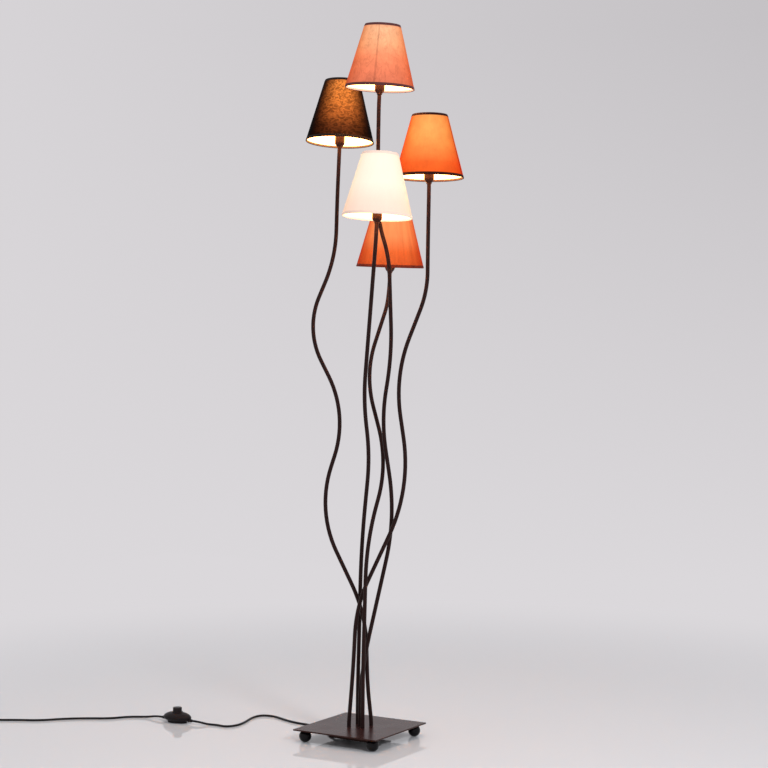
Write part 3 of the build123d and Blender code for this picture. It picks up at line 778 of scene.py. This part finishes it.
def shade_outline():
    """The wall's outline with rolled edges, and which finish each band has."""
    foot = (shade_r(0) - HEM_ROLL, HEM_ROLL)
    head = (shade_r(SHADE_H) - HEM_ROLL, SHADE_H - HEM_ROLL)
    outline = arc(foot, HEM_ROLL, 180, 360, ROLL_STEPS)
    outline.append((shade_r(HEM_LOW) + HEM_PROUD, HEM_LOW))
    bands = [TAPE] * (ROLL_STEPS + 2)
    top = SHADE_H - HEM_HIGH
    for k in range(WALL_ROWS + 1):
        z = HEM_LOW + HEM_STEP + (top - HEM_LOW - 2 * HEM_STEP) * k / WALL_ROWS
        outline.append((shade_r(z), z))
        bands.append(CLOTH if k < WALL_ROWS else TAPE)
    outline.append((shade_r(top) + HEM_PROUD, top))
    outline += arc(head, HEM_ROLL, 0, 180, ROLL_STEPS)
    bands += [TAPE] * (ROLL_STEPS + 1) + [LINED]
    rows = WALL_ROWS // 2
    for k in range(rows + 1):
        z = SHADE_H - LINING_TOP + (LINING_TOP + HEM_IN - SHADE_H) * k / rows
        outline.append((shade_r(z) - SHADE_WALL, z))
        bands.append(LINED if k < rows else TURNED_IN)
    inner = SHADE_WALL + HEM_PROUD
    outline.append((shade_r(HEM_IN) - inner, HEM_IN - HEM_STEP))
    outline.append((shade_r(HEM_ROLL) - inner, HEM_ROLL + 2 * HEM_STEP))
    return outline, bands + [TURNED_IN, TURNED_IN]


def cloth_puff(seed):
    """How far the cloth stands off its film, in mm: long shallow waves."""

    def puff(angle, z):
        if not HEM_LOW < z < SHADE_H - HEM_HIGH:
            return 0.0
        where = Vector(
            (WAVES_ROUND * cos(angle), WAVES_ROUND * sin(angle), z / WAVE_TALL + seed)
        )
        return WAVE * noise.noise(where)

    return puff


# What is turned about a head's axis, as (radius, height above the shade's bottom rim)
CUP = [
    (4.7, -13.0), (5.5, -13.0), (6.0, -12.5), (6.0, -10.4), (6.9, -9.3), (8.6, -7.3), (10.1, -5.0),
    (11.1, -2.8), (11.5, -0.6), (11.5, 19.6), (11.1, 20.0), (10.7, 19.6), (10.7, -1.4),
    (10.2, -2.4), (4.7, -2.4),
]
HOLDER = [
    (0, -2.4), (10.2, -2.4), (10.2, 22.0), (14.2, 22.0), (14.6, 22.4), (14.6, 24.0), (13.6, 24.0),
    (13.6, 33.0), (13.2, 33.6), (13.6, 34.2), (13.2, 34.8), (13.6, 35.4), (13.2, 36.0),
    (13.6, 36.6), (13.6, 41.4), (13.0, 42.0), (7.25, 42.0), (7.25, 21.0), (0, 21.0),
]
COLLAR = [
    (13.9, 25.5), (16.6, 25.5), (17.0, 26.0), (17.0, 29.5), (16.2, 31.2), (15.4, 31.5),
    (13.9, 31.5),
]
HUB = [(14.0, 24.0), (17.2, 24.0), (17.5, 24.3), (17.5, 25.2), (17.2, 25.5), (14.0, 25.5)]
BULB_CAP = [
    (0, 21.3), (4.4, 21.3), (4.8, 23.4), (6.4, 24.4), (6.95, 25.2), (6.6, 26.1), (6.95, 27.0),
    (6.6, 27.9), (6.95, 28.8), (6.6, 29.7), (6.95, 30.6), (6.6, 31.5), (6.9, 32.4), (6.9, 42.8),
    (0, 42.8),
]
BULB_GLASS = [
    (0, 42.9), (6.7, 42.9), (7.1, 45.5), (8.8, 51.0), (12.0, 58.0), (15.4, 65.5), (17.2, 73.0),
    (17.3, 80.0), (15.9, 89.0), (13.0, 98.5), (9.6, 107.0), (6.2, 113.2), (3.4, 117.0),
    (1.4, 118.9), (0, 119.3),
]
SPOKE_RUN = [(17.2, 0, 24.6), (26.0, 0, 23.6), (60.0, 0, 8.6), (74.6, 0, 2.9)]
SPOKES = 3
SPOKE_D = 2.2

SHADES = {
    # base is the cloth's own colour, glow the light painted on as emission at each height, seen
    # square on, and dye the light that it lets through. tape is the hem's own colour, edge its
    # painted glow outside, and the entry after it the bulb's light painted on where it is turned
    # in.
    # seam is the place of the lap, and the last entry the side painted brighter and by how much,
    # with places as a share of a turn.
    "left": dict(
        slot="shade_black", base="#1c100c", dye=(0.05, 0.045, 0.06),
        glow=[
            (0.0, "#4a2413"), (0.2, "#6e3619"), (0.42, "#b86029"), (0.6, "#d97732"),
            (0.9, "#e58339"), (1.0, "#b0602c"),
        ],
        pattern=crazed_cloth, tape="#150d0b", edge="#120907", painted_inside_light="#c08050",
        seam=0.10, seam_dark=0.8, bright_side=(0.95, 0.45),
    ),
    "front": dict(
        slot="shade_white", base="#7d766c", dye=(0.98, 0.94, 0.87),
        glow=[
            (0.0, "#fbdbcd"), (0.2, "#ffe2d2"), (0.5, "#fff4e3"), (0.9, "#fff5e4"),
            (1.0, "#ffefdc"),
        ],
        pattern=smooth_cloth, tape="#b8a49a", edge="#ac9488", painted_inside_light="#f4d9c0",
        seam=0.45, seam_dark=0.95, bright_side=(0.9, 0.02),
    ),
    "back": dict(
        slot="shade_orange", base="#5c2614", dye=(0.84, 0.5, 0.4),
        glow=[
            (0.0, "#c0582a"), (0.25, "#dc6b34"), (0.5, "#f4985c"), (0.9, "#f8a868"),
            (1.0, "#ea8c4c"),
        ],
        pattern=ribbed_cloth, tape="#3c1009", edge="#501709", painted_inside_light="#c07850",
        seam=0.12, seam_dark=0.85, bright_side=(0.84, 0.04),
    ),
    "top": dict(
        slot="shade_pink", base="#5e3029", dye=(0.86, 0.64, 0.52),
        glow=[
            (0.0, "#d8795c"), (0.2, "#ea8260"), (0.45, "#fb946b"), (0.65, "#fcb082"),
            (0.92, "#fdbe92"), (1.0, "#ee9f7c"),
        ],
        pattern=creased_cloth, tape="#3c1f1f", edge="#412322", painted_inside_light="#f6d4b4",
        seam=0.812, seam_dark=0.7, bright_side=(0.88, 0.08),
    ),
    "right": dict(
        slot="shade_orange", base="#5c2614", dye=(0.86, 0.5, 0.36),
        glow=[
            (0.0, "#ea5f22"), (0.2, "#f76c2e"), (0.48, "#fc9f52"), (0.75, "#fdb060"),
            (1.0, "#fca659"),
        ],
        pattern=mottled_cloth, tape="#220603", edge="#1c0502", painted_inside_light="#b87850",
        seam=0.035, seam_dark=0.3, bright_side=(0.88, 0.08),
    ),
}

OUTLINE, BANDS = shade_outline()
wire_tree = spokes_tree()
for number, (side, points) in enumerate(STEMS.items()):
    place = head_place(points)
    look = SHADES[side]
    cloth = shade_cloth(f"laminated_cloth_painted_glow_{side}", look)
    tape = hem_tape(f"hem_tape_{side}", look["tape"], look["edge"])
    # painted light: the turned-in tape's glow is the bulb's light on it, set as emission
    turned_in = hem_tape(f"hem_turned_in_{side}", look["tape"], look["painted_inside_light"])
    shade = spun(
        f"shade_cloth_{side}", OUTLINE, place, cloth, tape, lining_painted_glow, turned_in,
        steps=144, closed=True, part_of=BANDS, puff=cloth_puff(number * WAVE_SHIFT),
    )
    on_lamp(shade, look["slot"], f"shade_{side}")
    on_lamp(
        spun(f"cup_spun_{side}", CUP, place, stem_coat, closed=True), "steel_coat", f"cup_{side}"
    )
    on_lamp(
        spun(f"holder_barrel_{side}", HOLDER, place, holder_urea), "holder_plastic",
        f"lampholder_{side}",
    )
    on_lamp(
        spun(f"collar_ring_{side}", COLLAR, place, holder_urea, closed=True), "holder_plastic",
        f"collar_{side}",
    )
    on_lamp(
        spun(f"carrier_hub_{side}", HUB, place, carrier_enamel, closed=True), "carrier_enamel",
        f"carrier_{side}",
    )
    maker = run_tree(
        route_curve(SPOKE_RUN, [1 / MM] * len(SPOKE_RUN)), wire_tree,
        {"Spoke Count": SPOKES, "Wire Diameter": SPOKE_D * MM},
    )
    spokes = as_mesh(maker, f"carrier_spokes_{side}", carrier_enamel)
    spokes.data.transform(place)
    on_lamp(spokes, "carrier_enamel", f"carrier_{side}")
    on_lamp(
        spun(f"bulb_cap_{side}", BULB_CAP, place, nickel, steps=40), "bulb_glass", f"bulb_{side}"
    )
    on_lamp(
        spun(f"bulb_envelope_{side}", BULB_GLASS, place, bulb_glass, steps=40), "bulb_glass",
        f"bulb_{side}",
    )


# ---------------------------------------------------------------- base
def at(x, y, z=0.0):
    """A place in millimetres, unturned."""
    return Matrix.Translation(Vector((x, y, z)) * MM)


BALL_MIDDLE = sqrt(FOOT_R**2 - FOOT_FLAT_R**2)  # its height on the flat it stands on
edge = degrees(acos(FOOT_FLAT_R / FOOT_R))
ball = [(0, 0)] + arc((0, BALL_MIDDLE), FOOT_R, -edge, edge, 36) + [(0, 2 * BALL_MIDDLE)]
corners = [(-1, -1), (-1, 1), (1, -1), (1, 1)]
for number, (x, y) in enumerate(corners, 1):
    on_lamp(
        spun(f"foot_ball_{number}", ball, at(x * FOOT_XY, y * FOOT_XY), foot_lacquer, steps=56),
        "foot_lacquer", f"ball_foot_{number}",
    )

for node, finish in {
    "base_plate": plate_coat, "wiring_cover": plate_coat, "stem_washers": zinc, "stem_nuts": zinc,
    "cover_screws": zinc, "terminal_block": nylon_white, "switch_contacts": nylon_white,
}.items():
    paint(node, finish)

gland = [
    (0, -3.5), (6, -3.5), (6, 0), (7.6, 0), (8, 0.4), (8, 2.1), (7.6, 2.5), (6.2, 2.5), (5.6, 3.4),
    (4.6, 8.0), (3.9, 10.6), (3.3, 11.4), (2.6, 11.5), (0, 11.5),
]
out = Matrix.Translation(GLAND_AT * MM) @ Matrix.Rotation(radians(-90), 4, "Y")
on_lamp(spun("gland_relief", gland, out, nylon_black), "black_nylon", "cord_gland")

# ---------------------------------------------------------------- foot switch
SHELL_WALL = 2.2
SHELL_GAP = 0.25
SPOUT_OUT = 32.8  # from the switch's middle to a spout's root
SPRING_Z = 9.6
SPRING_TURNS = 6.0
switch = Matrix.Translation(SWITCH_AT * MM)
base = [
    (0, 0), (25.4, 0), (26, 0.6), (26.2, 3.6), (27.6, 4.6), (31.2, 6.0), (34.6, 8.0), (36.4, 9.9),
    (37, 11.3), (34.8, 11.4), (30.8, 6.9), (23.8, 3.2), (0, 3.2),
]
base_shell = spun("switch_shell_lower", base, switch, switch_abs, steps=96, squash=SWITCH_SQUASH)
on_lamp(base_shell, "switch_plastic", "switch_base")


def dome(wall):
    """The upper shell's curve, from its rim to the button's guide."""
    half = SWITCH_HALF - wall
    rise = SWITCH_TOP - wall - SWITCH_SPLIT
    rim = SWITCH_SPLIT + SHELL_GAP
    return [(half * cos(radians(a)), rim + rise * sin(radians(a))) for a in range(0, 71, 5)]


cap = dome(0.0) + dome(SHELL_WALL)[::-1]
dome_shell = spun(
    "switch_shell_upper", cap, switch, switch_abs, steps=96, squash=SWITCH_SQUASH, closed=True
)
on_lamp(dome_shell, "switch_plastic", "switch_dome")
guide = [
    (10.85, 19.0), (13.0, 19.0), (13.0, 24.3), (12.6, 25.0), (11.1, 25.0), (10.85, 24.7),
]
on_lamp(
    spun("switch_guide", guide, switch, switch_abs, closed=True), "switch_plastic", "switch_dome"
)
spout = [
    (0, 0), (4.4, 0), (4.4, 2.0), (3.9, 3.4), (3.8, 5.0), (3.6, 9.6), (3.2, 10.2), (0, 10.2),
]
for sign, end in ((-1, "out"), (1, "in")):
    lie = switch @ at(sign * SPOUT_OUT, 0, SPOUT_Z) @ Matrix.Rotation(radians(sign * 90), 4, "Y")
    on_lamp(
        spun(f"switch_spout_{end}", spout, lie, switch_abs, steps=32),
        "switch_plastic", "switch_base",
    )
button = [
    (0, 17.1), (11.9, 17.1), (11.9, 18.7), (10.5, 18.7), (10.5, 33.9), (10.2, 34.6), (9.5, 35.0),
    (8.0, 34.9), (0, 34.6),
]
press = spun("switch_press_button", button, switch, switch_abs)
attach(press, "button")
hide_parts("switch_button")

maker = run_tree(bpy.data.meshes.new("empty"), coil_spring_tree(), {"Turns": SPRING_TURNS})
spring = as_mesh(maker, "switch_return_spring", spring_wire)
spring.data.transform(switch @ at(0, 0, SPRING_Z))
on_lamp(spring, "spring_steel", "switch_spring")
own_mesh(spring)


# ---------------------------------------------------------------- cord and plug
COIL_POINTS = 8  # to a half turn
SPLINE_DRAW_IN = 0.99  # the spline runs this share of its points' radius


def coil_route():
    """The coil's points: in on the floor, up in one half turn and out on top; and its heading."""
    start = Vector(CORD_FROM_SWITCH[-1])
    ahead = (start - Vector(CORD_FROM_SWITCH[-2])).normalized()
    right = Vector((ahead.y, -ahead.x, 0))
    inward = [COIL_R - COIL_STEP * k for k in range(COIL_HALF_TURNS)]
    climb = COIL_R - COIL_STEP * COIL_HALF_TURNS
    radii = inward + [climb] + inward[::-1]
    x, y, z, way = 0.0, CORD_D, 0.0, 1
    local = []
    for radius in radii:
        rise = COIL_LAYER if radius == climb else 0.0
        for k in range(COIL_POINTS):
            share = (k + 0.5) / COIL_POINTS
            reach = radius / SPLINE_DRAW_IN
            angle = pi * share
            local.append((
                x + way * (reach * cos(angle) - radius), y + way * reach * sin(angle),
                z + rise * share,
            ))
        x, z, way = x - way * 2 * radius, z + rise, -way
    local += [(x, y, z), (x, y - CORD_D, z)]
    return [start + right * a + ahead * b + Vector((0, 0, c)) for a, b, c in local], ahead


def cord_piece(name, points):
    """The cord's round sheath along these points."""
    data = bpy.data.curves.new(name, "CURVE")
    data.dimensions = "3D"
    line = data.splines.new("NURBS")
    line.points.add(len(points) - 1)
    for point, where in zip(line.points, points):
        point.co = (*(Vector(where) * MM), 1.0)
    line.order_u = 3
    line.use_endpoint_u = True
    line.resolution_u = 10
    data.bevel_depth = CORD_D / 2 * MM
    data.bevel_resolution = 6
    data.use_fill_caps = True
    data.materials.append(cord_pvc)
    piece = bpy.data.objects.new(name, data)
    bpy.context.scene.collection.objects.link(piece)
    return piece


coil, ahead = coil_route()
lead_in = cord_piece("cord_lead_in", CORD_TO_SWITCH)
on_lamp(lead_in, "cord_pvc", "cord_lamp_to_switch")
lead_out = cord_piece("cord_lead_out", CORD_FROM_SWITCH + coil)
on_lamp(lead_out, "cord_pvc", "cord_switch_to_coil", "cord_coil")

back = Matrix((-ahead, Vector((0, 0, 1)).cross(-ahead), (0, 0, 1))).transposed().to_4x4()
plug = Matrix.Translation(coil[-1] * MM) @ back
sections = [
    (0, 2.8, 2.8, 1.0), (6, 3.2, 3.2, 1.0), (14, 3.9, 3.9, 1.0), (20, 5.4, 5.0, 1.3),
    (23, 7.4, 6.2, 1.7), (27, 10.8, 7.4, 2.2), (31, 12.6, 8.0, 2.6), (38, 13.0, 8.1, 2.8),
    (44, 14.4, 8.1, 2.8), (49, 17.0, 8.1, 2.8), (53, 17.6, 8.1, 2.8), (59, 17.6, 8.1, 2.8),
    (60, 17.0, 7.5, 2.8),
]
plug_shell = on_lamp(lofted("plug_shell", sections, plug, cord_pvc), "cord_pvc", "plug_body")
paint("plug_pins", nickel)

# ---------------------------------------------------------------- studio
FLOOR_TONE = "#d4d6db"
FLOOR_REACH = 2.6
FLOOR_FADE = (0.7, 2.2)  # from the lamp, where the floor turns into the backdrop
FLOOR_PATCH = 220  # mm between more and less polished places
SKY_LOW = "#dbd8db"
SKY_LEFT = "#d6d3d6"
SKY_RIGHT = "#c5c2c5"
SKY_RISE = (-0.13, 0.17)  # rise of the view over which SKY_LOW gives way
SKY_SPREAD = 0.2  # to each side of straight ahead
ROOM_STRENGTH = 0.55
CAMERA_AT = (2.151, -3.394, 0.889)
CAMERA_DOWN = 1.32  # degrees
CAMERA_TURN = 31.6
CAMERA_LENS = 84.375
PICTURE_RIGHT = (0.852, 0.524, 0)
AIM = (0, 0, 0.3)
SOFTBOXES = {  # place, width and power
    "overhead": ((0.4, -0.3, 3.4), 2.4, 26),
    "front_right": ((3.1, -1.7, 2.2), 0.8, 85),
}


def seen_straight(tree):
    """1 for what the camera sees, also in gloss and through glass, and 0 for light on things."""
    ways = add(tree, "ShaderNodeLightPath").outputs
    seen = ways["Is Camera Ray"]
    for way in ("Is Glossy Ray", "Is Transmission Ray"):
        seen = add(
            tree, "ShaderNodeMath", {"operation": "MAXIMUM"}, {0: seen, 1: ways[way]}
        ).outputs[0]
    return seen


def polished_floor():
    """White lacquered board near the lamp; further off it fades into the backdrop's tone."""
    material, tree, shader = blank("lacquered_white_board")
    place = add(tree, "ShaderNodeTexCoord").outputs["Object"]
    far = add(tree, "ShaderNodeVectorMath", {"operation": "LENGTH"}, {0: place}).outputs["Value"]
    near, gone = FLOOR_FADE
    fade = add(
        tree, "ShaderNodeMapRange", {"interpolation_type": "SMOOTHSTEP"},
        {"Value": far, "From Min": near, "From Max": gone},
    )
    share = add(
        tree, "ShaderNodeMath", {"operation": "MULTIPLY"},
        {0: fade.outputs[0], 1: seen_straight(tree)},
    )
    tone = add(tree, "ShaderNodeEmission", inputs={"Color": srgb(SKY_LOW), "Strength": 1.0})
    blend = add(
        tree, "ShaderNodeMixShader",
        inputs={0: share.outputs[0], 1: shader.outputs[0], 2: tone.outputs[0]},
    )
    patches = add(
        tree, "ShaderNodeTexNoise",
        inputs={"Vector": place, "Scale": per_mm(FLOOR_PATCH), "Detail": 2.0},
    )
    gloss = add(
        tree, "ShaderNodeMapRange",
        inputs={"Value": patches.outputs[0], "To Min": 0.01, "To Max": 0.05},
    )
    feed(tree, shader, {
        "Roughness": gloss.outputs[0], "Base Color": srgb(FLOOR_TONE), "IOR": 1.5,
    })
    output = next(node for node in tree.nodes if node.type == "OUTPUT_MATERIAL")
    feed(tree, output, {"Surface": blend.outputs[0]})
    return material


def studio_floor():
    """A square of floor under the lamp."""
    edges = ((-1, -1), (1, -1), (1, 1), (-1, 1))
    spots = [(x * FLOOR_REACH, y * FLOOR_REACH, 0) for x, y in edges]
    mesh = bpy.data.meshes.new("studio_floor")
    mesh.from_pydata(spots, [], [(0, 1, 2, 3)])
    finished(mesh, "studio_floor", polished_floor())


def studio_world():
    """Even soft light; the backdrop that shows is a little darker higher up."""
    world = bpy.data.worlds.new("studio")
    bpy.context.scene.world = world
    world.use_nodes = True
    tree = world.node_tree
    tree.nodes.clear()
    way = add(tree, "ShaderNodeTexCoord").outputs["Generated"]
    up = add(tree, "ShaderNodeSeparateXYZ", inputs={"Vector": way}).outputs["Z"]
    across = add(
        tree, "ShaderNodeVectorMath", {"operation": "DOT_PRODUCT"}, {0: way, 1: PICTURE_RIGHT}
    )
    side = add(
        tree, "ShaderNodeMapRange",
        inputs={
            "Value": across.outputs["Value"], "From Min": -SKY_SPREAD, "From Max": SKY_SPREAD,
        },
    )
    high = add(
        tree, "ShaderNodeValToRGB", inputs={"Fac": side.outputs[0]},
        stops=[(0.0, srgb(SKY_LEFT)), (1.0, srgb(SKY_RIGHT))],
    )
    low, full = SKY_RISE
    rise = add(
        tree, "ShaderNodeMapRange", inputs={"Value": up, "From Min": low, "From Max": full}
    )
    sky = add(
        tree, "ShaderNodeMix", {"data_type": "RGBA"},
        {"Factor": rise.outputs[0], 6: srgb(SKY_LOW), 7: high.outputs["Color"]},
    ).outputs[2]
    room = add(
        tree, "ShaderNodeBackground", inputs={"Color": grey(1.0), "Strength": ROOM_STRENGTH}
    )
    shown = add(tree, "ShaderNodeBackground", inputs={"Color": sky, "Strength": 1.0})
    both = add(
        tree, "ShaderNodeMixShader",
        inputs={0: seen_straight(tree), 1: room.outputs[0], 2: shown.outputs[0]},
    )
    add(tree, "ShaderNodeOutputWorld", inputs={"Surface": both.outputs[0]})


def softbox(name, spot, size, power):
    """A round soft light turned to the lamp's lower part."""
    data = bpy.data.lights.new(name, "AREA")
    data.shape = "DISK"
    data.size = size
    data.energy = power
    light = bpy.data.objects.new(name, data)
    light.location = spot
    light.visible_glossy = False  # the polished floor would show its disc
    light.rotation_euler = (Vector(AIM) - Vector(spot)).to_track_quat("-Z", "Y").to_euler()
    bpy.context.scene.collection.objects.link(light)


def photo_camera():
    """The photograph's view of the lamp."""
    data = bpy.data.cameras.new("camera")
    data.lens = CAMERA_LENS
    data.sensor_width = 36.0
    data.clip_end = 100.0
    camera = bpy.data.objects.new("camera", data)
    camera.location = CAMERA_AT
    camera.rotation_euler = (radians(90 - CAMERA_DOWN), 0, radians(CAMERA_TURN))
    bpy.context.scene.collection.objects.link(camera)
    bpy.context.scene.camera = camera


studio_floor()
studio_world()
for name, (spot, size, power) in SOFTBOXES.items():
    softbox(name, spot, size, power)
photo_camera()
bpy.context.scene.view_settings.view_transform = "Standard"
